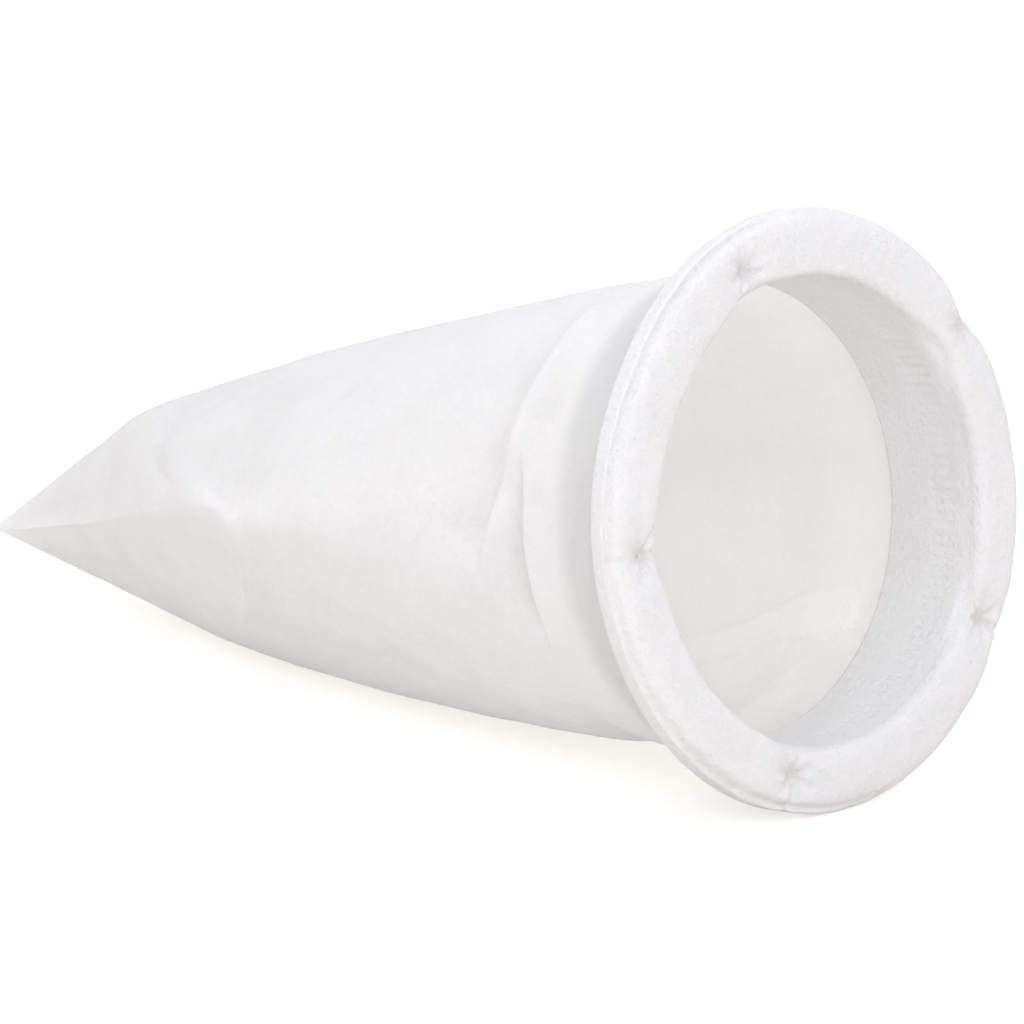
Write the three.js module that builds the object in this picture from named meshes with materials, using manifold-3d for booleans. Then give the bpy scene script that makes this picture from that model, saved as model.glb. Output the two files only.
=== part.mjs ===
// Liquid filter bag, standard size 1, lying on its side: a needle-felt bag with a pointed end, hung from a
// flange of padded felt that is folded round a steel ring. Millimetres, +Z up, mouth towards +X.
//
// Each piece is drawn in the bag's own frame first. There x runs along the bag's axis, 0 at the middle of the
// flange and positive out of the mouth, and z is up across the axis. The finished bag is then tilted to the
// way it lies: on the flange's rim and on its own underside.
import * as THREE from 'three';
import { mergeVertices } from 'three/addons/utils/BufferGeometryUtils.js';
import Module from 'manifold-3d';

const wasm = await Module();
wasm.setup();

// Clearance between pieces that lie on each other
const SEAT_GAP = 0.3;

// Flange: two felt layers round the ring, with a collar that runs down inside the mouth
const FLANGE_DIAMETER = 180;
const FLANGE_THICKNESS = 7;
const FLANGE_WIDTH = 20;
const RIM_ROUNDING = 1.4;
const FACE_CROWN = 3.4;
const RIM_GROOVE_WIDTH = 1.6;
const RIM_GROOVE_DEPTH = 1.1;
const RIM_GROOVE_INSET = 1.9;
const COLLAR_DEPTH = 32;
const COLLAR_WALL = 1.6;
const LAYER_SLIT = 0.5;

// Steel ring inside the flange
const RING_WIRE_DIAMETER = 4;
const RING_INSET = 6;

// Tacks: the two layers are welded together at evenly spaced points of the face
const TACK_COUNT = 5;
const TACK_INSET = 11.4;
const TACK_FIRST_ANGLE = 37.6;
const TACK_DIAMETER = 3.2;
const TACK_CRATER_DIAMETER = 6.5;
const TACK_CRATER_DEPTH = 3.4;
const TACK_PULL = 1.6;
const TACK_PULL_SPREAD = 7;

// Bag: one felt tube, round at the neck, flattened to a shoulder and cut to a point behind it
const BAG_LENGTH = 440;
const FELT_WALL = 2.2;
const NECK_LENGTH = 35;
const CORNER_STATION = 182;
const CORNER_HALF_WIDTH = 86;
const CREST_STATION = 313;
const CREST_HEIGHT = 38;
const KEEL_STATION = 280;
const KEEL_DEPTH = 50.5;
const SHOULDER_PINCH = 0.75;
const CREST_SWEEP = 1.9;
const KEEL_SWEEP = 3.4;
const SEAM_ROLL = 6;
const CREST_BULGE = 3.6;
const KEEL_BULGE = 5;
const SIDE_BULGE = 2;
const TIP_DROP = 9;
const TIP_HALF_WIDTH = 4;
const TIP_HALF_THICKNESS = 2.5;
const END_SEAM = 12;

// Lap seam: the felt's two long edges lie over each other inside the bag
const LAP_ANGLE = -37;
const LAP_WIDTH = 15;
const LAP_STEP = 1.2;
const LAP_EDGE = 1;

// Folds: each runs between two angles at about one distance behind the flange's middle
const FOLDS = [
  { station: 59, from: 112, to: 196, width: 6, depth: 4.4 },
  { station: 47, from: 126, to: 188, width: 4.5, depth: -1.6 },
  { station: 79, from: 130, to: 178, width: 13, depth: 2.4 },
  { station: 55, from: 246, to: 292, width: 7, depth: 2 },
  { station: 65, from: -24, to: 30, width: 9, depth: 2.6 },
];
const DENTS = [
  { station: 251, angle: 139, size: 11, depth: 2.6 },
  { station: 225, angle: 145, size: 9, depth: 1.6 },
  { station: 245, angle: 38, size: 14, depth: 2.4 },
];

// Way that the bag lies: the mouth looks a little upwards, and what touches the floor is pressed flat
const REST_TILT = 8.2;
const REST_PRESS = 0.6;

// Fineness of the surfaces
const RIM_STEPS = 70;
const PAD_STEPS = 6;
const TUBE_STEPS = 60;
const NECK_ROWS = 2;
const BODY_ROWS = 15;
const POINT_ROWS = 8;
const CHANNEL_STEPS = 10;
const WIRE_STEPS = 8;

const FELT = new THREE.MeshStandardMaterial({ color: 0xf3f3f5, roughness: 0.95, metalness: 0 });
const STEEL = new THREE.MeshStandardMaterial({ color: 0xb4b8bc, roughness: 0.35, metalness: 1 });

const flangeRadius = FLANGE_DIAMETER / 2;
const mouthRadius = flangeRadius - FLANGE_WIDTH;
const neckInnerRadius = mouthRadius + COLLAR_WALL + SEAT_GAP;
const neckRadius = neckInnerRadius + FELT_WALL;
const ringRadius = flangeRadius - RING_INSET;
const tackRadius = flangeRadius - TACK_INSET;
const tilt = THREE.MathUtils.degToRad(REST_TILT);
const faceX = FLANGE_THICKNESS / 2;
const flangeHeight = flangeRadius * Math.cos(tilt) + faceX * Math.sin(tilt) - REST_PRESS;

/** Height of the floor in the bag's own frame, at a place x along its axis. */
function floorAt(x) {
  return -(flangeHeight + x * Math.sin(tilt)) / Math.cos(tilt);
}

/** Smallest turn between two angles, in degrees from 0 to 180. */
function turnBetween(first, second) {
  const turn = Math.abs(first - second) % 360;
  return Math.min(turn, 360 - turn);
}

/** Gives a geometry whose shared corners are merged, from rings of points joined one to the next. */
function skin(rings, capStart, capEnd) {
  const count = rings[0].length;
  const points = rings.flat();
  const faces = [];
  const last = rings.length - 1;
  const spans = capStart ? last : rings.length;
  for (let row = 0; row < spans; row += 1) {
    const next = (row + 1) % rings.length;
    for (let step = 0; step < count; step += 1) {
      const beside = (step + 1) % count;
      const a = row * count + step;
      const b = row * count + beside;
      const c = next * count + beside;
      const d = next * count + step;
      faces.push(a, b, c, a, c, d);
    }
  }
  if (capStart) {
    points.push(capStart, capEnd);
    for (let step = 0; step < count; step += 1) {
      const beside = (step + 1) % count;
      faces.push(points.length - 2, beside, step);
      faces.push(points.length - 1, last * count + step, last * count + beside);
    }
  }
  const geometry = new THREE.BufferGeometry();
  geometry.setAttribute('position', new THREE.Float32BufferAttribute(points.flatMap((p) => p.toArray()), 3));
  geometry.setIndex(faces);
  return mergeVertices(geometry, 1e-4);
}

/** Makes a solid for cutting and joining out of a closed geometry. */
function toSolid(geometry) {
  const bare = geometry.clone();
  bare.deleteAttribute('normal');
  bare.deleteAttribute('uv');
  const merged = mergeVertices(bare, 1e-4);
  return new wasm.Manifold(new wasm.Mesh({
    numProp: 3,
    vertProperties: new Float32Array(merged.attributes.position.array),
    triVerts: new Uint32Array(merged.index.array),
  }));
}

/** Makes a geometry out of a solid that was cut or joined. */
function toGeometry(solid) {
  const mesh = solid.getMesh();
  const geometry = new THREE.BufferGeometry();
  geometry.setAttribute('position', new THREE.BufferAttribute(new Float32Array(mesh.vertProperties), 3));
  geometry.setIndex(new THREE.BufferAttribute(new Uint32Array(mesh.triVerts), 1));
  geometry.computeVertexNormals();
  return geometry;
}

/** Place along the axis of the padded face, at a share of the way from its inner to its outer edge. */
function padX(share) {
  return faceX + FACE_CROWN * 4 * share * (1 - share);
}

/** Section through the flange and its collar, as (x, radius) points that go once round the felt. */
function flangeSection() {
  const rear = -faceX;
  const slit = LAYER_SLIT / 2;
  const groove = flangeRadius - RIM_GROOVE_INSET;
  const channel = RING_WIRE_DIAMETER / 2 + SEAT_GAP;
  const channelMouth = Math.asin(slit / channel);
  const padStart = mouthRadius + RIM_ROUNDING;
  const padEnd = groove - RIM_GROOVE_WIDTH / 2;
  const points = [
    [-COLLAR_DEPTH, mouthRadius],
    [-COLLAR_DEPTH / 2, mouthRadius],
    [faceX - RIM_ROUNDING, mouthRadius],
    [faceX - RIM_ROUNDING * 0.3, mouthRadius + RIM_ROUNDING * 0.3],
  ];
  for (let step = 0; step <= PAD_STEPS; step += 1) {
    const share = step / PAD_STEPS;
    points.push([padX(share), THREE.MathUtils.lerp(padStart, padEnd, share)]);
  }
  points.push(
    [faceX - RIM_GROOVE_DEPTH, groove],
    [faceX - RIM_GROOVE_DEPTH * 0.4, groove + RIM_GROOVE_WIDTH / 2],
    [faceX - RIM_ROUNDING, flangeRadius - RIM_ROUNDING * 0.2],
    [faceX - RIM_ROUNDING * 1.8, flangeRadius],
    [rear + RIM_ROUNDING, flangeRadius],
    [rear + RIM_ROUNDING * 0.3, flangeRadius - RIM_ROUNDING * 0.3],
    [rear, flangeRadius - RIM_ROUNDING],
    [rear, neckRadius + SEAT_GAP],
    [-slit, neckRadius + SEAT_GAP],
  );
  for (let step = 0; step <= CHANNEL_STEPS; step += 1) {
    const turn = Math.PI + channelMouth + (step / CHANNEL_STEPS) * (2 * Math.PI - 2 * channelMouth);
    points.push([channel * Math.sin(turn), ringRadius + channel * Math.cos(turn)]);
  }
  points.push([slit, neckInnerRadius - SEAT_GAP]);
  points.push([-COLLAR_DEPTH, neckInnerRadius - SEAT_GAP]);
  return points;
}

/** Share from 0 to 1 by which the tacks draw the flange's edge in at an angle. */
function tackPull(angle) {
  let pull = 0;
  for (let tack = 0; tack < TACK_COUNT; tack += 1) {
    const turn = turnBetween(angle, TACK_FIRST_ANGLE + (tack * 360) / TACK_COUNT);
    pull = Math.max(pull, Math.exp(-((turn / TACK_PULL_SPREAD) ** 2)));
  }
  return pull;
}

/** One tack's tool: a shape turned about the tack's centre, laid on the flange's face. */
function tackTool(profile, angle) {
  const tool = new THREE.LatheGeometry(profile.map(([radius, height]) => new THREE.Vector2(radius, height)), 10);
  tool.rotateZ(-Math.PI / 2);
  const turn = THREE.MathUtils.degToRad(angle);
  tool.translate(0, tackRadius * Math.cos(turn), tackRadius * Math.sin(turn));
  return toSolid(tool);
}

/** Felt cover of the flange: collar, face, rolled rim and seat face, welded together at the tacks. */
function flangeCover() {
  const section = flangeSection();
  const rings = section.map(([x, radius]) => {
    const ring = [];
    for (let step = 0; step < RIM_STEPS; step += 1) {
      const angle = (step * 360) / RIM_STEPS;
      const share = THREE.MathUtils.clamp((radius - ringRadius - RING_WIRE_DIAMETER / 2) / RIM_ROUNDING, 0, 1);
      const pulled = radius - TACK_PULL * tackPull(angle) * share;
      const turn = THREE.MathUtils.degToRad(angle);
      const z = Math.max(pulled * Math.sin(turn), floorAt(x));
      ring.push(new THREE.Vector3(x, pulled * Math.cos(turn), z));
    }
    return ring;
  });
  let felt = toSolid(skin(rings.reverse()));
  const top = faceX + FACE_CROWN;
  const bottom = top - TACK_CRATER_DEPTH;
  const craterRadius = TACK_CRATER_DIAMETER / 2;
  const crater = [
    [0, bottom],
    [craterRadius * 0.35, bottom],
    [craterRadius * 0.8, top - TACK_CRATER_DEPTH * 0.3],
    [craterRadius * 1.1, top + SEAT_GAP],
    [0, top + SEAT_GAP],
  ];
  const weld = [
    [0, -LAYER_SLIT],
    [TACK_DIAMETER / 2, -LAYER_SLIT],
    [TACK_DIAMETER / 2, LAYER_SLIT],
    [0, LAYER_SLIT],
  ];
  for (let tack = 0; tack < TACK_COUNT; tack += 1) {
    const angle = TACK_FIRST_ANGLE + (tack * 360) / TACK_COUNT;
    felt = felt.subtract(tackTool(crater, angle)).add(tackTool(weld, angle));
  }
  const mesh = new THREE.Mesh(toGeometry(felt), FELT);
  mesh.name = 'flange_cover';
  return mesh;
}

/** Steel ring that keeps the mouth round, loose in the channel of the felt flange. */
function supportRing() {
  const wireRadius = RING_WIRE_DIAMETER / 2;
  const rings = [];
  for (let side = 0; side < WIRE_STEPS; side += 1) {
    const turn = ((side + 0.5) * 2 * Math.PI) / WIRE_STEPS;
    const radius = ringRadius + wireRadius * Math.cos(turn);
    const ring = [];
    for (let step = 0; step < RIM_STEPS; step += 1) {
      const around = (step * 2 * Math.PI) / RIM_STEPS;
      ring.push(new THREE.Vector3(wireRadius * Math.sin(turn), radius * Math.cos(around), radius * Math.sin(around)));
    }
    rings.push(ring);
  }
  const mesh = new THREE.Mesh(skin(rings), STEEL);
  mesh.name = 'support_ring';
  return mesh;
}

/** Point of the shoulder, the slanting crease where the pointed end begins. */
function shoulderPoint(angle, inset) {
  const across = Math.cos(angle);
  const rise = Math.sin(angle);
  const station = rise > 0 ? CREST_STATION : KEEL_STATION;
  const height = rise > 0 ? CREST_HEIGHT : KEEL_DEPTH;
  const sweep = rise > 0 ? CREST_SWEEP : KEEL_SWEEP;
  const y = (CORNER_HALF_WIDTH - inset) * across;
  const lens = Math.sign(rise) * (height - inset) * (1 - across * across) ** SHOULDER_PINCH;
  return new THREE.Vector3(
    -(CORNER_STATION + (station - CORNER_STATION) * Math.abs(rise) ** sweep),
    y,
    lens - y * Math.tan(THREE.MathUtils.degToRad(SEAM_ROLL)),
  );
}

/** Depth of the folds and dents at a distance behind the flange and an angle round the bag. */
function foldDepth(station, angle) {
  const degrees = THREE.MathUtils.radToDeg(angle);
  const ease = 18;
  let depth = 0;
  for (const fold of FOLDS) {
    const middle = (fold.from + fold.to) / 2;
    const beyond = Math.max(0, turnBetween(degrees, middle) - (fold.to - fold.from) / 2);
    const along = Math.exp(-((beyond / ease) ** 2));
    depth += fold.depth * along * Math.exp(-(((station - fold.station) / fold.width) ** 2));
  }
  for (const dent of DENTS) {
    const away = Math.hypot(station - dent.station, (turnBetween(degrees, dent.angle) * Math.PI * neckRadius) / 180);
    depth += dent.depth * Math.exp(-((away / dent.size) ** 2));
  }
  return depth * THREE.MathUtils.smoothstep(station, NECK_LENGTH, NECK_LENGTH + FOLDS[0].width);
}

/** Point of the bag: run is below 0 in the neck, 0 to 1 up to the shoulder and 1 to 2 from there to the tip. */
function bagPoint(run, angle, inset) {
  const across = Math.cos(angle);
  const rise = Math.sin(angle);
  const radius = neckRadius - inset;
  const point = new THREE.Vector3(-NECK_LENGTH, radius * across, radius * rise);
  if (run < 0) {
    point.x = -NECK_LENGTH * (1 + run);
    return point;
  }
  const bodyShare = Math.min(run, 1);
  const pointShare = Math.max(run - 1, 0);
  const bulge = 4 * bodyShare * (1 - bodyShare);
  point.lerp(shoulderPoint(angle, inset), bodyShare);
  point.y += SIDE_BULGE * bulge * across;
  point.z += (rise > 0 ? CREST_BULGE : KEEL_BULGE) * bulge * rise;
  const share = inset / FELT_WALL;
  const end = new THREE.Vector3(
    -(BAG_LENGTH - END_SEAM * share),
    TIP_HALF_WIDTH * across * (1 - share * 0.7),
    -TIP_DROP + TIP_HALF_THICKNESS * rise * (1 - share * 0.7),
  );
  point.lerp(end, pointShare);
  const depth = foldDepth(-point.x, angle) * (1 - pointShare);
  const reach = Math.hypot(point.y, point.z);
  point.y -= (depth * point.y) / reach;
  point.z -= (depth * point.z) / reach;
  point.z = Math.max(point.z, floorAt(point.x) + inset);
  return point;
}

/** Angles round the bag, with two close pairs where the lap seam's edges are. */
function bagAngles() {
  const angles = [];
  const middle = THREE.MathUtils.degToRad(LAP_ANGLE + 360);
  const half = LAP_WIDTH / 2 / neckInnerRadius;
  const edge = LAP_EDGE / neckInnerRadius;
  for (let step = 0; step < TUBE_STEPS; step += 1) {
    const angle = (step * 2 * Math.PI) / TUBE_STEPS;
    if (Math.abs(angle - middle) > half + 2 * edge) angles.push(angle);
  }
  angles.push(middle - half - edge, middle - half, middle, middle + half, middle + half + edge);
  return angles.sort((first, second) => first - second);
}

/** The bag itself: one felt shell, open at the mouth, with its lap seam and the solid seam at the tip. */
function filterBody() {
  const runs = [];
  const mouthEdge = -1 + SEAT_GAP / NECK_LENGTH;
  for (let row = 0; row < NECK_ROWS; row += 1) runs.push(mouthEdge * (1 - row / NECK_ROWS));
  for (let row = 0; row < BODY_ROWS; row += 1) runs.push((row / BODY_ROWS) ** 1.25);
  for (let row = 0; row <= POINT_ROWS; row += 1) runs.push(1 + row / POINT_ROWS);
  const angles = bagAngles();
  const lapMiddle = THREE.MathUtils.degToRad(LAP_ANGLE + 360);
  const lapHalf = LAP_WIDTH / 2 / neckInnerRadius;
  const lapAt = (run, angle) => {
    const inside = Math.abs(angle - lapMiddle) < lapHalf + 1e-9;
    return inside && run > 0 && run <= 1 ? LAP_STEP : 0;
  };
  const outer = runs.map((run) => angles.map((angle) => bagPoint(run, angle, 0)));
  const inner = runs.map((run) => angles.map((angle) => bagPoint(run, angle, FELT_WALL + lapAt(run, angle))));
  const capOuter = new THREE.Vector3(-BAG_LENGTH - TIP_HALF_THICKNESS / 2, 0, -TIP_DROP);
  const capInner = new THREE.Vector3(-BAG_LENGTH + END_SEAM, 0, -TIP_DROP);
  const rings = [...outer.reverse(), ...inner];
  const mesh = new THREE.Mesh(skin(rings, capOuter, capInner), FELT);
  mesh.name = 'filter_body';
  return mesh;
}

const bag = new THREE.Group();
bag.add(filterBody(), flangeCover(), supportRing());
bag.rotation.y = -tilt;
bag.position.z = flangeHeight;
bag.updateMatrixWorld(true);

// The origin is under the middle of the whole bag
const extent = new THREE.Box3().setFromObject(bag, true);
bag.position.x -= (extent.min.x + extent.max.x) / 2;
bag.position.y -= (extent.min.y + extent.max.y) / 2;

const part = new THREE.Group();
part.add(bag);

export default part;
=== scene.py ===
"""Looks of the liquid filter bag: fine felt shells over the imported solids, floor, light and camera.

The bag lies on its side, with its mouth towards +X. Each felt piece is drawn in the bag's own frame in
millimetres, where x runs along the bag's axis from the middle of the flange, positive out of the mouth, and z
is up across the axis. It is then laid on the floor as the solids lie, in metres.
"""

import logging
import math
from dataclasses import dataclass, field
from enum import Enum

import bpy
import numpy as np
from mathutils import Matrix, Vector, noise


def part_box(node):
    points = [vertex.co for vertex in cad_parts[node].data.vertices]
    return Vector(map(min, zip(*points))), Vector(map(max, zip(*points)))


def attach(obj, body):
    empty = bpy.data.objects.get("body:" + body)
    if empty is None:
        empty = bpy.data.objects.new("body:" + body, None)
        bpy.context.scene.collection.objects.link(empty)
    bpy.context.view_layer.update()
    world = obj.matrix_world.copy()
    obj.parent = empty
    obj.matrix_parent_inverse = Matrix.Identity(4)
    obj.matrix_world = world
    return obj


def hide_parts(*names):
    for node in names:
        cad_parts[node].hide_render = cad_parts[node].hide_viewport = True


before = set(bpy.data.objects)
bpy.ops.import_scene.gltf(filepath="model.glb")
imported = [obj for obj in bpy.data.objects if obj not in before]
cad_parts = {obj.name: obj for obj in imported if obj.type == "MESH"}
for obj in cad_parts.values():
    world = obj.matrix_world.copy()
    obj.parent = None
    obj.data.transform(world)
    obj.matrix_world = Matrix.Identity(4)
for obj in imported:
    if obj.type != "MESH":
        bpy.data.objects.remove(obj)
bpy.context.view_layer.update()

log = logging.getLogger("filter_bag")

MM = 0.001


def turn_between(first: np.ndarray, second: float) -> np.ndarray:
    """Gives the smallest turn between two angles.

    Args:
        first: Angles in degrees.
        second: The angle to compare with, in degrees.

    Returns:
        Turns from 0 to 180 degrees.
    """
    turn = np.abs(first - second) % 360
    return np.minimum(turn, 360 - turn)


def hump(distance: np.ndarray, width: float) -> np.ndarray:
    """Gives a smooth hump.

    Args:
        distance: Distances from the hump's middle.
        width: Distance at which the hump has dropped to about a third.

    Returns:
        Values from 1 at the middle down to 0 far away.
    """
    return np.exp(-((distance / width) ** 2))


def smooth_step(value: np.ndarray, low: float, high: float) -> np.ndarray:
    """Gives a smooth rise from 0 to 1.

    Args:
        value: Values to place on the rise.
        low: Value where the rise starts.
        high: Value where it ends.

    Returns:
        Shares from 0 to 1.
    """
    share = np.clip((value - low) / (high - low), 0, 1)
    return share * share * (3 - 2 * share)


def unevenness(points: np.ndarray, grain: float, seed: float) -> np.ndarray:
    """Gives a soft random height at each point, the same on each run.

    Args:
        points: Points in millimetres, one in each row.
        grain: Rough size of the random bumps, in millimetres.
        seed: Offset that picks another pattern.

    Returns:
        Heights from about -1 to 1.
    """
    scaled = points / grain + seed
    return np.array([noise.noise(Vector(point)) for point in scaled])


@dataclass(frozen=True)
class RestingPlace:
    """How the bag lies: tilted with its mouth a little up, on its flange's rim and its own underside."""

    tilt: float = math.radians(8.2)
    flange_radius: float = 90.0
    flange_thickness: float = 7.0
    press: float = 0.6
    tip_station: float = 441.25
    tip_drop: float = 9.0

    @property
    def height(self) -> float:
        """Height of the flange's middle over the floor, in millimetres."""
        rim = self.flange_radius * math.cos(self.tilt) + self.flange_thickness / 2 * math.sin(self.tilt)
        return rim - self.press

    @property
    def origin(self) -> np.ndarray:
        """Middle of the flange in the shared frame, in metres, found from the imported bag."""
        low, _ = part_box("filter_body")
        side_low, side_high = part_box("support_ring")
        reach = self.tip_station * math.cos(self.tilt) - self.tip_drop * math.sin(self.tilt)
        return np.array([low[0] + reach * MM, (side_low[1] + side_high[1]) / 2, self.height * MM])

    def floor_at(self, x: np.ndarray) -> np.ndarray:
        """Height of the floor in the bag's own frame at the places x, in millimetres."""
        return -(self.height + x * math.sin(self.tilt)) / math.cos(self.tilt)

    def lay(self, points: np.ndarray) -> np.ndarray:
        """Lays points of the bag's own frame in the shared frame.

        Args:
            points: Points in millimetres, with x, y and z last.

        Returns:
            The same points in metres.
        """
        x, y, z = points[..., 0], points[..., 1], points[..., 2]
        cos, sin = math.cos(self.tilt), math.sin(self.tilt)
        turned = np.stack([x * cos - z * sin, y, x * sin + z * cos], axis=-1)
        return turned * MM + self.origin


PLACE = RestingPlace()


class Closing(Enum):
    """How a row of rings is closed to a solid skin."""

    CAPS = "caps"
    LOOP = "loop"


def skin_rings(name: str, rings: np.ndarray, closing: Closing) -> bpy.types.Object:
    """Makes a mesh object from rings of points, each joined to the next.

    Args:
        name: The piece's name.
        rings: Points in metres, by ring and by place on the ring.
        closing: CAPS fans the first and last ring shut, LOOP joins the last ring to the first.

    Returns:
        The new object, smooth shaded, with its faces pointing out.
    """
    rows, count, _ = rings.shape
    vertices = rings.reshape(-1, 3)
    spans = rows if closing is Closing.LOOP else rows - 1
    row = np.arange(spans)[:, None]
    step = np.arange(count)[None, :]
    beside = (step + 1) % count
    after = (row + 1) % rows
    corners = [row * count + step, row * count + beside, after * count + beside, after * count + step]
    faces = np.stack([np.broadcast_to(c, (spans, count)) for c in corners], axis=-1).reshape(-1, 4).tolist()
    if closing is Closing.CAPS:
        start, end = len(vertices), len(vertices) + 1
        vertices = np.vstack([vertices, rings[0].mean(axis=0), rings[-1].mean(axis=0)])
        last = (rows - 1) * count
        faces += [(start, (i + 1) % count, i) for i in range(count)]
        faces += [(end, last + i, last + (i + 1) % count) for i in range(count)]
    mesh = bpy.data.meshes.new(name)
    mesh.from_pydata(vertices.tolist(), [], faces)
    mesh.validate()
    piece = bpy.data.objects.new(name, mesh)
    bpy.context.collection.objects.link(piece)
    bpy.ops.object.select_all(action="DESELECT")
    piece.select_set(True)
    bpy.context.view_layer.objects.active = piece
    bpy.ops.object.mode_set(mode="EDIT")
    bpy.ops.mesh.select_all(action="SELECT")
    bpy.ops.mesh.normals_make_consistent(inside=False)
    bpy.ops.object.mode_set(mode="OBJECT")
    bpy.ops.object.shade_smooth()
    return piece


def mark_points(piece: bpy.types.Object, name: str, values: np.ndarray) -> None:
    """Stores one number for each vertex, for the material to read.

    Args:
        piece: The object whose mesh gets the numbers.
        name: Name of the attribute.
        values: One number for each ring vertex; cap vertices keep 0.
    """
    attribute = piece.data.attributes.new(name, "FLOAT", "POINT")
    full = np.zeros(len(piece.data.vertices), dtype=np.float32)
    full[: len(values)] = values
    attribute.data.foreach_set("value", full)


@dataclass(frozen=True)
class FeltFinish:
    """White needle felt: short matted fibres, with soft uneven whiteness and pressed places, and a paler colour
    painted on as light where the mesh asks for it.
    """

    name: str
    light: tuple[float, float, float] = (0.942, 0.937, 0.934)
    dull: tuple[float, float, float] = (0.885, 0.879, 0.875)
    # Paler colour that is painted light: it lifts surfaces the lamps leave too dim.
    painted_light: tuple[float, float, float] = (0.996, 0.991, 0.985)
    pressed: tuple[float, float, float] = (0.82, 0.79, 0.75)
    fibre_scale: float = 1500.0
    tuft_scale: float = 420.0
    cloud_scale: float = 45.0
    cloud_share: float = 0.34
    tuft_share: float = 0.28
    fibre_share: float = 0.38
    dull_below: float = 0.36
    light_above: float = 0.58
    bump_depth: float = 0.0006
    bump_strength: float = 0.8
    glow_through: float = 0.6

    def make(self) -> bpy.types.Material:
        """Builds the node material.

        Returns:
            The new material.
        """
        material = bpy.data.materials.new(self.name)
        material.use_nodes = True
        nodes, links = material.node_tree.nodes, material.node_tree.links
        nodes.clear()
        output = nodes.new("ShaderNodeOutputMaterial")
        shader = nodes.new("ShaderNodeBsdfPrincipled")
        shader.inputs["Roughness"].default_value = 0.95
        shader.inputs["Specular IOR Level"].default_value = 0.15
        shader.inputs["Sheen Weight"].default_value = 0.12
        shader.inputs["Sheen Roughness"].default_value = 0.6
        place = nodes.new("ShaderNodeTexCoord")
        cloud = self._noise(nodes, links, place, self.cloud_scale, 3.0)
        tuft = self._noise(nodes, links, place, self.tuft_scale, 4.0)
        fibre = self._noise(nodes, links, place, self.fibre_scale, 5.0)
        blend = None
        for layer, share in ((cloud, self.cloud_share), (tuft, self.tuft_share), (fibre, self.fibre_share)):
            added = nodes.new("ShaderNodeMath")
            added.operation = "MULTIPLY_ADD"
            added.inputs[1].default_value = share
            added.inputs[2].default_value = 0.0
            links.new(layer.outputs["Fac"], added.inputs[0])
            if blend:
                links.new(blend.outputs[0], added.inputs[2])
            blend = added
        ramp = nodes.new("ShaderNodeValToRGB")
        ramp.color_ramp.elements[0].position = self.dull_below
        ramp.color_ramp.elements[0].color = (*self.dull, 1)
        ramp.color_ramp.elements[1].position = self.light_above
        ramp.color_ramp.elements[1].color = (*self.light, 1)
        links.new(blend.outputs[0], ramp.inputs["Fac"])
        pressed = nodes.new("ShaderNodeAttribute")
        pressed.attribute_name = "pressed"
        stain = nodes.new("ShaderNodeMix")
        stain.data_type = "RGBA"
        stain.inputs["B"].default_value = (*self.pressed, 1)
        links.new(pressed.outputs["Fac"], stain.inputs["Factor"])
        # Painted light: where the mesh's painted-light share is high, the paler colour is mixed in.
        painted_light = nodes.new("ShaderNodeAttribute")
        painted_light.attribute_name = "painted_light"
        painted_light_mix = nodes.new("ShaderNodeMix")
        painted_light_mix.data_type = "RGBA"
        painted_light_mix.inputs["B"].default_value = (*self.painted_light, 1)
        links.new(painted_light.outputs["Fac"], painted_light_mix.inputs["Factor"])
        links.new(ramp.outputs["Color"], painted_light_mix.inputs["A"])
        links.new(painted_light_mix.outputs["Result"], stain.inputs["A"])
        links.new(stain.outputs["Result"], shader.inputs["Base Color"])
        through = nodes.new("ShaderNodeBsdfTranslucent")
        links.new(stain.outputs["Result"], through.inputs["Color"])
        felt = nodes.new("ShaderNodeMixShader")
        felt.inputs["Fac"].default_value = self.glow_through
        links.new(shader.outputs["BSDF"], felt.inputs[1])
        links.new(through.outputs["BSDF"], felt.inputs[2])
        coarse = nodes.new("ShaderNodeBump")
        coarse.inputs["Strength"].default_value = self.bump_strength
        coarse.inputs["Distance"].default_value = self.bump_depth * 2
        links.new(tuft.outputs["Fac"], coarse.inputs["Height"])
        fine = nodes.new("ShaderNodeBump")
        fine.inputs["Strength"].default_value = self.bump_strength
        fine.inputs["Distance"].default_value = self.bump_depth
        links.new(fibre.outputs["Fac"], fine.inputs["Height"])
        links.new(coarse.outputs["Normal"], fine.inputs["Normal"])
        links.new(fine.outputs["Normal"], shader.inputs["Normal"])
        links.new(felt.outputs["Shader"], output.inputs["Surface"])
        return material

    @staticmethod
    def _noise(
        nodes: bpy.types.Nodes, links: bpy.types.NodeLinks, place: bpy.types.Node, scale: float, detail: float
    ) -> bpy.types.Node:
        """Adds a noise texture on the piece's own coordinates.

        Args:
            nodes: The material's nodes.
            links: The material's links.
            place: The texture coordinate node.
            scale: Bumps in a metre.
            detail: Finer layers of the noise.

        Returns:
            The noise node.
        """
        texture = nodes.new("ShaderNodeTexNoise")
        texture.inputs["Scale"].default_value = scale
        texture.inputs["Detail"].default_value = detail
        texture.inputs["Roughness"].default_value = 0.62
        links.new(place.outputs["Object"], texture.inputs["Vector"])
        return texture


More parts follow.
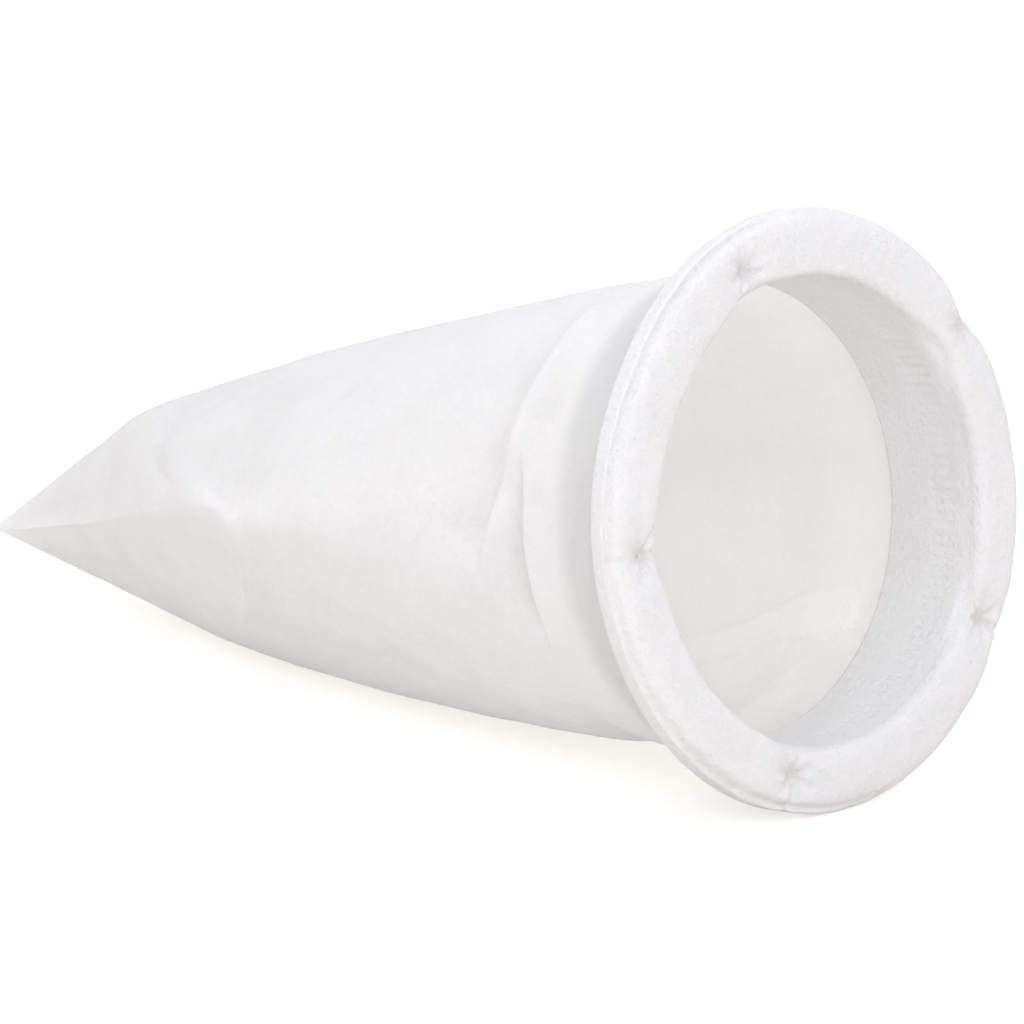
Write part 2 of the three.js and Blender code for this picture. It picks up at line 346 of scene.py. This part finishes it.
@dataclass(frozen=True)
class WireFinish:
    """Galvanised steel wire of the ring inside the flange."""

    name: str = "ring_steel"
    colour: tuple[float, float, float] = (0.62, 0.63, 0.65)
    drawn_scale: float = 700.0
    smoothest: float = 0.28
    roughest: float = 0.5

    def make(self) -> bpy.types.Material:
        """Builds the node material.

        Returns:
            The new material.
        """
        material = bpy.data.materials.new(self.name)
        material.use_nodes = True
        nodes, links = material.node_tree.nodes, material.node_tree.links
        shader = nodes["Principled BSDF"]
        shader.inputs["Base Color"].default_value = (*self.colour, 1)
        shader.inputs["Metallic"].default_value = 1.0
        place = nodes.new("ShaderNodeTexCoord")
        grain = nodes.new("ShaderNodeTexNoise")
        grain.inputs["Scale"].default_value = self.drawn_scale
        links.new(place.outputs["Object"], grain.inputs["Vector"])
        rough = nodes.new("ShaderNodeMapRange")
        rough.inputs["To Min"].default_value = self.smoothest
        rough.inputs["To Max"].default_value = self.roughest
        links.new(grain.outputs["Fac"], rough.inputs["Value"])
        links.new(rough.outputs["Result"], shader.inputs["Roughness"])
        bump = nodes.new("ShaderNodeBump")
        bump.inputs["Strength"].default_value = 0.2
        bump.inputs["Distance"].default_value = 0.0001
        links.new(grain.outputs["Fac"], bump.inputs["Height"])
        links.new(bump.outputs["Normal"], shader.inputs["Normal"])
        return material


@dataclass(frozen=True)
class Fold:
    """A fold round the bag: a valley with one steep and one gentle side, or a ridge where depth is negative."""

    station: float
    start: float
    end: float
    front: float
    back: float
    depth: float
    lean: float = 0.0
    ease: float = 14.0


@dataclass(frozen=True)
class Dent:
    """A soft dent, or a bulge where depth is negative."""

    station: float
    angle: float
    along: float
    across: float
    depth: float


@dataclass(frozen=True)
class Crease:
    """A raised crease near the shoulder or along the pointed end, placed by run and by angle."""

    runs: tuple[float, ...]
    angles: tuple[float, ...]
    above: float
    below: float
    height: float
    fade_in: float = 0.05
    fade_out: float = 0.1

    def rise(self, run: np.ndarray, degrees: np.ndarray) -> np.ndarray:
        """Height of the crease.

        Args:
            run: Runs of the points.
            degrees: Angles round the bag.

        Returns:
            Heights in millimetres.
        """
        aside = degrees - np.interp(run, self.runs, self.angles)
        width = np.where(aside < 0, self.above, self.below)
        first, last = self.runs[0], self.runs[-1]
        ends = smooth_step(run, first - self.fade_in, first) * (1 - smooth_step(run, last - self.fade_out, last))
        return self.height * hump(aside, width) * ends


@dataclass
class FilterBody:
    """The felt bag: one shell, round at the neck, flattened to a shoulder and cut to a point behind it."""

    neck_radius: float = 74.1
    felt_wall: float = 2.2
    neck_length: float = 35.0
    corner_station: float = 182.0
    corner_half_width: float = 86.0
    crest_station: float = 313.0
    crest_height: float = 38.0
    keel_station: float = 280.0
    keel_depth: float = 50.5
    pinch: float = 0.75
    crest_sweep: float = 1.9
    keel_sweep: float = 3.4
    seam_roll: float = math.radians(6)
    crest_bulge: float = 3.6
    keel_bulge: float = 5.0
    side_bulge: float = 2.0
    length: float = 440.0
    tip_drop: float = 9.0
    tip_half_width: float = 4.0
    tip_half_thickness: float = 2.5
    tip_wall: float = 0.7
    end_seam: float = 12.0
    shoulder_round: float = 0.05
    shoulder_ridge: float = 2.6
    ridge_run: float = 0.945
    ridge_width: float = 0.022
    ridge_from: tuple[float, float] = (172.0, 184.0)
    ridge_to: tuple[float, float] = (224.0, 246.0)
    rough: float = 0.55
    coarse_grain: float = 26.0
    fine_grain: float = 11.0
    # Painted light on the lining and the neck: drawn paler to stand in for light they do not get; the lap band
    # gets all of it.
    lining_painted_light: float = 0.7
    neck_painted_light: float = 0.4
    neck_painted_light_fade: tuple[float, float] = (30.0, 54.0)
    lap_width: float = 18.0
    lap_height: float = 1.5
    lap_edge: float = 0.7
    lap_start: float = 0.04
    lap_end: float = 1.1
    lap_angle: float = -37.0
    lap_swing: float = -20.0
    steps: int = 288
    folds: list[Fold] = field(default_factory=lambda: [
        Fold(54.5, 115, 176, 1.9, 15, 8.0, lean=0.0027, ease=8),
        Fold(49, 120, 174, 5, 3.0, -3.0, lean=0.0024, ease=9),
        Fold(50.5, 168, 196, 2.0, 7, 7.2, ease=8),
        Fold(252, 127, 149, 7, 9, 2.6, lean=-0.04, ease=6),
        Fold(57, 244, 296, 5, 9, 2.4),
        Fold(61, -24, 34, 12, 16, 1.2),
        Fold(53, 52, 84, 9, 12, 0.8),
    ])
    dents: list[Dent] = field(default_factory=lambda: [
        Dent(250, 137, 14, 9, 1.4),
        Dent(220, 143, 11, 7, 2.2),
        Dent(76, 150, 9, 26, 1.2),
        Dent(245, 38, 18, 12, 2.6),
        Dent(115, 150, 30, 20, 1.6),
        Dent(105, 205, 34, 14, -1.2),
        Dent(195, 110, 40, 22, -1.0),
        Dent(42, 148, 5, 9, 2.0),
        Dent(42, 171, 5, 7, 2.0),
        Dent(66, 160, 7, 16, 1.6),
    ])
    creases: list[Crease] = field(default_factory=lambda: [
        Crease((0.99, 1.11, 1.23, 1.38, 1.52, 1.95), (168, 169, 171, 175, 180, 181), 16.0, 5.0, 2.4),
    ])

    def shoulder(self, angle: np.ndarray, inset: np.ndarray) -> np.ndarray:
        """Points of the shoulder, the slanting crease where the pointed end begins.

        Args:
            angle: Angles round the bag, in radians.
            inset: Distances inside the outer skin.

        Returns:
            Points in the bag's own frame.
        """
        across, rise = np.cos(angle), np.sin(angle)
        up = rise > 0
        station = np.where(up, self.crest_station, self.keel_station)
        height = np.where(up, self.crest_height, self.keel_depth) - inset
        sweep = np.where(up, self.crest_sweep, self.keel_sweep)
        y = (self.corner_half_width - inset) * across
        z = np.sign(rise) * height * (1 - across**2) ** self.pinch - y * math.tan(self.seam_roll)
        x = -(self.corner_station + (station - self.corner_station) * np.abs(rise) ** sweep)
        return np.stack([x, y, z], axis=-1)

    def fold_depth(self, station: np.ndarray, degrees: np.ndarray) -> np.ndarray:
        """Depth of all folds and dents.

        Args:
            station: Distances behind the flange's middle.
            degrees: Angles round the bag.

        Returns:
            Depths in millimetres, negative where the felt stands out.
        """
        depth = np.zeros_like(station)
        for fold in self.folds:
            middle, half = (fold.start + fold.end) / 2, (fold.end - fold.start) / 2
            beyond = np.maximum(0, turn_between(degrees, middle) - half)
            from_start = np.clip(turn_between(degrees, fold.start), 0, 2 * half + fold.ease)
            behind = station - fold.station - fold.lean * from_start**2
            side = np.where(behind > 0, fold.back, fold.front)
            depth += fold.depth * hump(beyond, fold.ease) * np.exp(-((behind / side) ** 2))
        for dent in self.dents:
            around = turn_between(degrees, dent.angle) * math.pi * self.neck_radius / 180
            depth += dent.depth * hump(station - dent.station, dent.along) * hump(around, dent.across)
        return depth * smooth_step(station, self.neck_length, self.neck_length + 7)

    def lap_share(self, run: np.ndarray, angle: np.ndarray) -> np.ndarray:
        """Tells where the lap seam's band lies on the inner skin.

        Args:
            run: Runs of the points, as for points().
            angle: Angles round the bag, in radians.

        Returns:
            Shares from 0 beside the band to 1 on it.
        """
        middle = self.lap_angle + self.lap_swing * smooth_step(run, 0.15, 0.45)
        turn = turn_between(np.degrees(angle), middle) * math.pi * (self.neck_radius - self.felt_wall) / 180
        half = self.lap_width / 2
        from_end = (run - self.lap_start) * (self.corner_station - self.neck_length)
        outside = np.hypot(np.maximum(half - from_end, 0), turn) - half
        band = 1 - smooth_step(outside, -self.lap_edge, self.lap_edge)
        return band * (1 - smooth_step(run, self.lap_end - 0.1, self.lap_end))

    def points(self, run: np.ndarray, angle: np.ndarray, inset: np.ndarray) -> np.ndarray:
        """Points of the shell.

        Args:
            run: Below 0 in the neck, 0 to 1 up to the shoulder and 1 to 2 from there to the tip.
            angle: Angles round the bag, in radians.
            inset: Distances inside the outer skin.

        Returns:
            Points in the bag's own frame.
        """
        across, rise = np.cos(angle), np.sin(angle)
        radius = self.neck_radius - inset
        share = np.clip(run, 0, 1)[..., None]
        point_share = np.clip(run - 1, 0, 1)[..., None]
        neck = np.stack([np.full_like(across, -self.neck_length), radius * across, radius * rise], axis=-1)
        points = neck + (self.shoulder(angle, inset) - neck) * share
        bulge = (4 * share * (1 - share))[..., 0]
        points[..., 1] += self.side_bulge * bulge * across
        points[..., 2] += np.where(rise > 0, self.crest_bulge, self.keel_bulge) * bulge * rise
        wall_share = inset / self.felt_wall
        end = np.stack([
            -(self.length - self.end_seam * wall_share) * np.ones_like(across),
            self.tip_half_width * across * (1 - wall_share * self.tip_wall),
            -self.tip_drop + self.tip_half_thickness * rise * (1 - wall_share * self.tip_wall),
        ], axis=-1)
        points = points + (end - points) * point_share
        past = run - 1
        sharp = np.maximum(past, 0)
        rounded = (past + self.shoulder_round) ** 2 / (4 * self.shoulder_round)
        eased = np.where(np.abs(past) < self.shoulder_round, rounded, sharp)
        kink = end - 2 * self.shoulder(angle, inset) + neck
        points = points + kink * (eased - sharp)[..., None]
        degrees = np.degrees(angle)
        depth = self.fold_depth(-points[..., 0], degrees) * (1 - point_share[..., 0])
        for crease in self.creases:
            depth -= crease.rise(run, degrees)
        on_keel = smooth_step(degrees, *self.ridge_from) * (1 - smooth_step(degrees, *self.ridge_to))
        depth -= self.shoulder_ridge * hump(run - self.ridge_run, self.ridge_width) * on_keel
        reach = np.hypot(points[..., 1], points[..., 2])
        points[..., 1:] *= (1 - depth / reach)[..., None]
        in_neck = np.clip(-run, 0, 1)
        points[..., 0] += self.neck_length * in_neck
        return points

    def rings(self, run: np.ndarray, angle: np.ndarray, inset: np.ndarray) -> np.ndarray:
        """Rings of the outer or inner skin, in the bag's own frame and softly uneven.

        Args:
            run: Runs of the points, by ring and by place on the ring.
            angle: Their angles round the bag, in radians.
            inset: Their distances inside the outer skin.

        Returns:
            Points by ring and by place on the ring.
        """
        points = self.points(run, angle, inset)
        flat = points.reshape(-1, 3)
        bumps = unevenness(flat, self.coarse_grain, 3.7) * 0.7 + unevenness(flat, self.fine_grain, 8.1) * 0.3
        bumps = bumps.reshape(run.shape) * self.rough
        bumps *= smooth_step(-points[..., 0], self.neck_length, self.neck_length + 15)
        bumps *= smooth_step(self.length - 20 + points[..., 0], 0, 30)
        reach = np.hypot(points[..., 1], points[..., 2])
        points[..., 1:] *= (1 + bumps / np.maximum(reach, 1))[..., None]
        points[..., 2] = np.maximum(points[..., 2], PLACE.floor_at(points[..., 0]) + inset)
        return points

    def build(self, felt: bpy.types.Material) -> bpy.types.Object:
        """Builds the shell and dresses it.

        Args:
            felt: The bag's felt material.

        Returns:
            The finished piece.
        """
        neck = np.linspace(-0.99, 0, 6, endpoint=False)
        body = np.linspace(0, 1, 96, endpoint=False) ** 1.35
        point = np.linspace(1, 2, 56)
        rows = np.concatenate([neck, body, point])
        angles = np.linspace(0, 2 * math.pi, self.steps, endpoint=False)
        run, angle = np.meshgrid(rows, angles, indexing="ij")
        lap = self.lap_share(run, angle)
        outer = self.rings(run, angle, np.zeros_like(run))[::-1]
        inner = self.rings(run, angle, self.felt_wall + self.lap_height * lap)
        piece = skin_rings("bag_felt_shell", PLACE.lay(np.concatenate([outer, inner])), Closing.CAPS)
        # Painted light: the neck by the flange is drawn paler to lift the shade the flange casts there.
        painted_neck_light = self.neck_painted_light * (1 - smooth_step(-outer[..., 0], *self.neck_painted_light_fade))
        # Painted light: the whole lining is drawn paler, and the lap seam's band fully so.
        painted_light_lining = self.lining_painted_light + (1 - self.lining_painted_light) * lap
        mark_points(piece, "painted_light", np.concatenate([painted_neck_light, painted_light_lining]).reshape(-1))
        piece.data.materials.append(felt)
        return piece


@dataclass
class FlangeCover:
    """The felt of the flange: collar, padded face, rolled rim and flat seat, pinched at five tacks."""

    radius: float = 90.0
    thickness: float = 7.0
    width: float = 20.0
    edge_round: float = 1.8
    rim_round: float = 1.4
    front_round: float = 2.4
    crown: float = 1.6
    groove_inset: float = 1.8
    groove_shift: float = 1.0
    groove_middle: float = 184.0
    groove_depth: float = 1.8
    groove_width: float = 1.2
    groove_near: float = 24.0
    groove_fade: tuple[float, float] = (62.0, 100.0)
    collar_depth: float = 32.0
    collar_wall: float = 1.6
    slit: float = 0.5
    wire: float = 4.0
    ring_inset: float = 6.0
    clearance: float = 0.3
    body_wall: float = 2.2
    tack_depth: float = 2.0
    tack_radius: float = 2.8
    tack_shares: tuple[float, ...] = (0.5, 1.0, 1.0, 1.0, 1.0)
    stain_radii: tuple[float, ...] = (3.8, 2.7, 2.7, 2.7, 2.7)
    tack_spread: float = 6.5
    hollow_depth: float = 1.5
    hollow_radius: float = 7.0
    ray_count: int = 7
    ray_turn: float = 1.7
    ray_depth: float = 1.0
    ray_middle: float = 4.6
    ray_width: float = 3.6
    tack_crease_depth: float = 0.9
    tack_crease_width: float = 1.0
    rim_crease_width: float = 1.3
    padding: float = 0.35
    slack: float = 0.5
    tack_angles: tuple[float, ...] = (35.4, 108.6, 181.7, 252.8, 327.2)
    tack_places: tuple[float, ...] = (83.6, 77.6, 76.4, 78.6, 79.0)
    corner_pulls: tuple[float, ...] = (2.4, 1.4, 0.8, 0.9, 2.2)
    rim_pulls: tuple[float, ...] = (2.0, 0.3, 0.0, 0.3, 0.9)
    rim_creases: tuple[float, ...] = (0.3, 0.0, 0.0, 0.6, 0.0)
    sway: float = 2.2
    sway_angle: float = 142.0
    sway_spread: float = 26.0
    coarse_grain: float = 9.0
    coarse_height: float = 0.35
    fine_grain: float = 3.2
    fine_height: float = 0.12
    # Painted light on the collar's inner side, faded in towards the face.
    collar_painted_light_fade: tuple[float, float] = (-2.6, -0.8)
    weld_count: int = 126
    weld_from: float = 5.0
    weld_to: float = 15.0
    weld_height: float = 0.4
    steps: int = 900

    @property
    def mouth(self) -> float:
        """Radius of the mouth."""
        return self.radius - self.width

    def section(self) -> np.ndarray:
        """Section through the felt as (x, radius) points that go once round it.

        Returns:
            The points, close together on the face that shows.
        """
        face, rear = self.thickness / 2, -self.thickness / 2
        inner = self.mouth
        corner = self.edge_round
        rim = self.rim_round
        points = [(-self.collar_depth, inner)]
        points += [(x, inner) for x in np.linspace(-self.collar_depth + 0.5, face - corner, 26)]
        turn = np.linspace(0, math.pi / 2, 6)[1:]
        points += [(face - corner + corner * math.sin(t), inner + corner - corner * math.cos(t)) for t in turn]
        front = self.front_round
        points += [(face, radius) for radius in np.linspace(inner + corner + 0.5, self.radius - front, 28)]
        swing = np.linspace(0, math.pi / 2, 10)[1:]
        points += [(face - front + front * math.cos(t), self.radius - front + front * math.sin(t)) for t in swing]
        points += [(x, self.radius) for x in np.linspace(face - front - 0.6, rear + rim, 5)]
        points += [(rear + rim - rim * math.sin(t), self.radius - rim + rim * math.cos(t)) for t in turn]
        outside = inner + self.collar_wall + self.clearance + self.body_wall + self.clearance
        points += [(rear, radius) for radius in np.linspace(self.radius - rim - 1, outside, 6)]
        half = self.slit / 2
        channel = self.wire / 2 + self.clearance
        mouth_turn = math.asin(half / channel)
        middle = self.radius - self.ring_inset
        points.append((-half, outside))
        for t in np.linspace(math.pi + mouth_turn, 3 * math.pi - mouth_turn, 13):
            points.append((channel * math.sin(t), middle + channel * math.cos(t)))
        points.append((half, inner + self.collar_wall))
        points.append((-self.collar_depth, inner + self.collar_wall))
        return np.array(points)

    def shape(self, x: np.ndarray, radius: np.ndarray, degrees: np.ndarray) -> tuple[np.ndarray, ...]:
        """Pads, pinches and presses the plain ring.

        Args:
            x: Places along the axis.
            radius: Distances from the axis.
            degrees: Angles round the ring.

        Returns:
            New x, new radius, and how far each point is pressed, from 0 to 1.
        """
        face = self.thickness / 2
        on_face = smooth_step(x, face - 2.6, face - 0.3) * smooth_step(radius, self.mouth - 0.5, self.mouth + 1)
        outside = smooth_step(radius, self.radius - 5, self.radius - 1)
        inside = 1 - smooth_step(radius, self.mouth, self.mouth + 6)
        near_mouth = smooth_step(x, -0.2, face - 0.4)
        span = self.width - self.groove_inset
        across = (radius - self.mouth - span / 2) / (span / 2)
        lift = self.crown * np.clip(1 - across**4, 0, 1) * on_face
        new_radius = radius.copy()
        pressed, pull, corner = np.zeros_like(x), np.zeros_like(x), np.zeros_like(x)
        for index, (tack, tack_radius) in enumerate(zip(self.tack_angles, self.tack_places)):
            turn = turn_between(degrees, tack)
            signed = (degrees - tack + 180) % 360 - 180
            beside = np.radians(signed) * tack_radius
            away = radius - tack_radius
            reach = np.hypot(beside, away)
            bearing = np.arctan2(beside, away)
            pucker = 0.5 + 0.5 * np.cos(self.ray_count * bearing + self.ray_turn * index)
            crater = self.tack_depth * hump(reach, self.tack_radius)
            hollow = self.hollow_depth * hump(reach, self.hollow_radius)
            rays = self.ray_depth * pucker * hump(reach - self.ray_middle, self.ray_width)
            crease = self.tack_crease_depth * hump(beside, self.tack_crease_width) * smooth_step(away, 0.5, 6)
            lift = lift - (crater + hollow + rays + crease) * self.tack_shares[index] * on_face
            pressed = np.maximum(pressed, hump(reach, self.stain_radii[index]) * on_face)
            pull = np.maximum(pull, hump(turn, self.tack_spread))
            new_radius -= self.rim_pulls[index] * hump(turn, self.tack_spread) * outside
            corner += self.corner_pulls[index] * hump(turn, self.tack_spread * 1.3)
            new_radius -= self.rim_creases[index] * hump(beside, self.rim_crease_width) * outside
        between = 1 - pull
        lift = lift + self.padding * between * on_face
        new_radius += (corner - self.slack * between**2) * inside * near_mouth
        from_middle = turn_between(degrees, self.groove_middle)
        inset = self.groove_inset - self.groove_shift * hump(from_middle, self.groove_near)
        groove = hump(radius - (self.radius - inset), self.groove_width)
        groove *= 1 - smooth_step(from_middle, *self.groove_fade)
        from_sway = turn_between(degrees, self.sway_angle)
        new_radius -= self.sway * hump(from_sway, self.sway_spread) * smooth_step(x, -16, 0)
        lift = lift - self.groove_depth * groove * smooth_step(x, face - 2, face - 0.2)
        return x + lift, new_radius, pressed

    def build(self, felt: bpy.types.Material) -> bpy.types.Object:
        """Builds the cover and dresses it.

        Args:
            felt: The flange's felt material.

        Returns:
            The finished piece.
        """
        section = self.section()
        angles = np.linspace(0, 2 * math.pi, self.steps, endpoint=False)
        x, angle = np.meshgrid(section[:, 0], angles, indexing="ij")
        radius = np.repeat(section[:, 1][:, None], self.steps, axis=1)
        x, radius, pressed = self.shape(x, radius, np.degrees(angle))
        collar = (radius < self.mouth + 0.8) & (x < 0)
        bars = 0.5 + 0.5 * np.cos(self.weld_count * angle)
        band = smooth_step(-x, self.weld_from, self.weld_from + 1.5)
        band = band * (1 - smooth_step(-x, self.weld_to - 1.5, self.weld_to))
        radius = radius + np.where(collar, self.weld_height * bars * band, 0)
        points = np.stack([x, radius * np.cos(angle), radius * np.sin(angle)], axis=-1)
        flat = points.reshape(-1, 3)
        coarse = unevenness(flat, self.coarse_grain, 1.3) * self.coarse_height
        fine = unevenness(flat, self.fine_grain, 5.9) * self.fine_height
        skin = smooth_step(x, 0.5, 2.5) * smooth_step(radius, self.mouth, self.mouth + 3)
        points[..., 0] += (coarse + fine).reshape(x.shape) * skin
        points[..., 2] = np.maximum(points[..., 2], PLACE.floor_at(points[..., 0]))
        piece = skin_rings("flange_felt_cover", PLACE.lay(points), Closing.LOOP)
        mark_points(piece, "pressed", pressed.reshape(-1))
        # Painted light: the collar's inner side is drawn paler to stand in for light it does not get.
        painted_light_lining = (radius < self.mouth + 0.8) & (x < self.thickness / 2)
        mark_points(piece, "painted_light", (painted_light_lining * smooth_step(-x, *self.collar_painted_light_fade)).reshape(-1))
        piece.data.materials.append(felt)
        return piece


@dataclass
class Studio:
    """Pale floor, soft light and the camera at the photograph's angle."""

    azimuth: float = math.radians(47.6)
    elevation: float = math.radians(11.5)
    lens: float = 112.5
    sensor: float = 36.0
    aim_right: float = 90.4
    aim_up: float = 0.43
    distance: float = 950.5
    world_light: float = 1.05
    lamp_power: float = 4.8
    front_power: float = 7.0
    side_power: float = 1.2
    world_colour: tuple[float, float, float] = (0.925, 0.938, 1.0)
    lamp_colour: tuple[float, float, float] = (0.95, 0.955, 1.0)
    lamp_size: tuple[float, float] = (1.2, 0.9)
    floor_size: float = 12.0
    floor_bounce: tuple[float, float, float] = (0.79, 0.755, 0.705)
    floor_glow: float = 0.5

    def axes(self) -> tuple[np.ndarray, np.ndarray, np.ndarray]:
        """Right, up and back directions of the camera."""
        az, el = self.azimuth, self.elevation
        right = np.array([math.cos(az), math.sin(az), 0])
        up = np.array([-math.sin(az) * math.sin(el), math.cos(az) * math.sin(el), math.cos(el)])
        back = np.array([math.sin(az) * math.cos(el), -math.cos(az) * math.cos(el), math.sin(el)])
        return right, up, back

    def add_camera(self) -> None:
        """Adds the camera where the photograph was taken from, by the flange's middle."""
        right, up, back = self.axes()
        offset = -self.aim_right * right - self.aim_up * up + self.distance * back
        data = bpy.data.cameras.new("camera")
        data.lens = self.lens
        data.sensor_width = self.sensor
        camera = bpy.data.objects.new("camera", data)
        bpy.context.collection.objects.link(camera)
        turn = Matrix([right, up, back]).transposed()
        camera.matrix_world = Matrix.Translation(Vector(PLACE.origin + offset * MM)) @ turn.to_4x4()
        bpy.context.scene.camera = camera

    def add_floor(self) -> None:
        """Adds a white floor that keeps the bag's shadow and gives back less light than it shows."""
        bpy.ops.object.select_all(action="DESELECT")
        bpy.ops.mesh.primitive_plane_add(size=self.floor_size, location=(0, 0, -0.0002))
        floor = bpy.context.active_object
        floor.name = "studio_floor"
        material = bpy.data.materials.new("studio_floor")
        material.use_nodes = True
        nodes, links = material.node_tree.nodes, material.node_tree.links
        shader = nodes["Principled BSDF"]
        shader.inputs["Roughness"].default_value = 1.0
        shader.inputs["Specular IOR Level"].default_value = 0.0
        path = nodes.new("ShaderNodeLightPath")
        shader.inputs["Base Color"].default_value = (*self.floor_bounce, 1)
        shader.inputs["Emission Color"].default_value = (1, 1, 1, 1)
        seen = self._seen(nodes, links, path)
        glow = nodes.new("ShaderNodeMath")
        glow.operation = "MULTIPLY"
        glow.inputs[1].default_value = self.floor_glow
        links.new(seen, glow.inputs[0])
        links.new(glow.outputs[0], shader.inputs["Emission Strength"])
        floor.data.materials.append(material)

    @staticmethod
    def _seen(
        nodes: bpy.types.Nodes, links: bpy.types.NodeLinks, path: bpy.types.Node
    ) -> bpy.types.NodeSocket:
        """Adds up the rays that show a surface: straight from the camera, mirrored or through glass.

        Args:
            nodes: The material's or world's nodes.
            links: Its links.
            path: The light path node.

        Returns:
            A socket that is 1 for such rays and 0 for others.
        """
        first = nodes.new("ShaderNodeMath")
        first.operation = "MAXIMUM"
        links.new(path.outputs["Is Camera Ray"], first.inputs[0])
        links.new(path.outputs["Is Glossy Ray"], first.inputs[1])
        both = nodes.new("ShaderNodeMath")
        both.operation = "MAXIMUM"
        links.new(first.outputs[0], both.inputs[0])
        links.new(path.outputs["Is Transmission Ray"], both.inputs[1])
        return both.outputs[0]

    def add_light(self) -> None:
        """Adds an even surround, seen as white, and three broad soft lamps."""
        world = bpy.data.worlds.new("studio")
        bpy.context.scene.world = world
        world.use_nodes = True
        nodes, links = world.node_tree.nodes, world.node_tree.links
        surround = nodes["Background"]
        surround.inputs["Color"].default_value = (*self.world_colour, 1)
        surround.inputs["Strength"].default_value = self.world_light
        seen = nodes.new("ShaderNodeBackground")
        seen.inputs["Color"].default_value = (1, 1, 1, 1)
        seen.inputs["Strength"].default_value = 1.0
        path = nodes.new("ShaderNodeLightPath")
        mix = nodes.new("ShaderNodeMixShader")
        links.new(self._seen(nodes, links, path), mix.inputs["Fac"])
        links.new(surround.outputs["Background"], mix.inputs[1])
        links.new(seen.outputs["Background"], mix.inputs[2])
        links.new(mix.outputs["Shader"], nodes["World Output"].inputs["Surface"])
        self._add_panel("sky_panel", self.lamp_power, (-0.1, -0.25, 1.3), (0.0, 0.0, 0.08))
        self._add_panel("front_panel", self.front_power, (1.25, -0.5, 0.6), (0.15, 0.0, 0.09))
        self._add_panel("side_panel", self.side_power, (-0.15, -1.3, 0.45), (0.1, 0.0, 0.09))

    def _add_panel(self, name: str, power: float, place: tuple[float, ...], aim: tuple[float, ...]) -> None:
        """Adds one broad soft lamp.

        Args:
            name: The lamp's name.
            power: Its power in watts.
            place: Its middle, in metres.
            aim: The point that it faces.
        """
        lamp = bpy.data.lights.new(name, "AREA")
        lamp.shape = "RECTANGLE"
        lamp.size, lamp.size_y = self.lamp_size
        lamp.energy = power
        lamp.color = self.lamp_colour
        panel = bpy.data.objects.new(name, lamp)
        panel.location = place
        panel.rotation_euler = (Vector(aim) - panel.location).to_track_quat("-Z", "Y").to_euler()
        bpy.context.collection.objects.link(panel)


def main() -> None:
    logging.basicConfig(level=logging.INFO, format="%(message)s")
    bpy.context.scene.view_settings.view_transform = "Standard"
    studio = Studio()
    studio.add_camera()
    studio.add_floor()
    studio.add_light()

    bag_felt = FeltFinish("bag_felt").make()
    # Painted shade: the flange's felt is a slightly darker, warmer copy of the bag's, which tones down the lit
    # face.
    flange_felt = FeltFinish(
        "flange_felt", light=(0.934, 0.923, 0.912), dull=(0.880, 0.868, 0.857), glow_through=0.28
    ).make()
    wire = WireFinish().make()

    body = FilterBody()
    shell = body.build(bag_felt)
    cover = FlangeCover().build(flange_felt)
    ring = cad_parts["support_ring"]
    for slot in ring.material_slots:
        slot.material = wire

    for piece in (shell, cover):
        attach(piece, "root")
    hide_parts("filter_body")
    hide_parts("flange_cover")
    for piece in (shell, cover, ring):
        log.info("%s: %d faces", piece.name, len(piece.data.polygons))


if __name__ == "__main__":
    main()
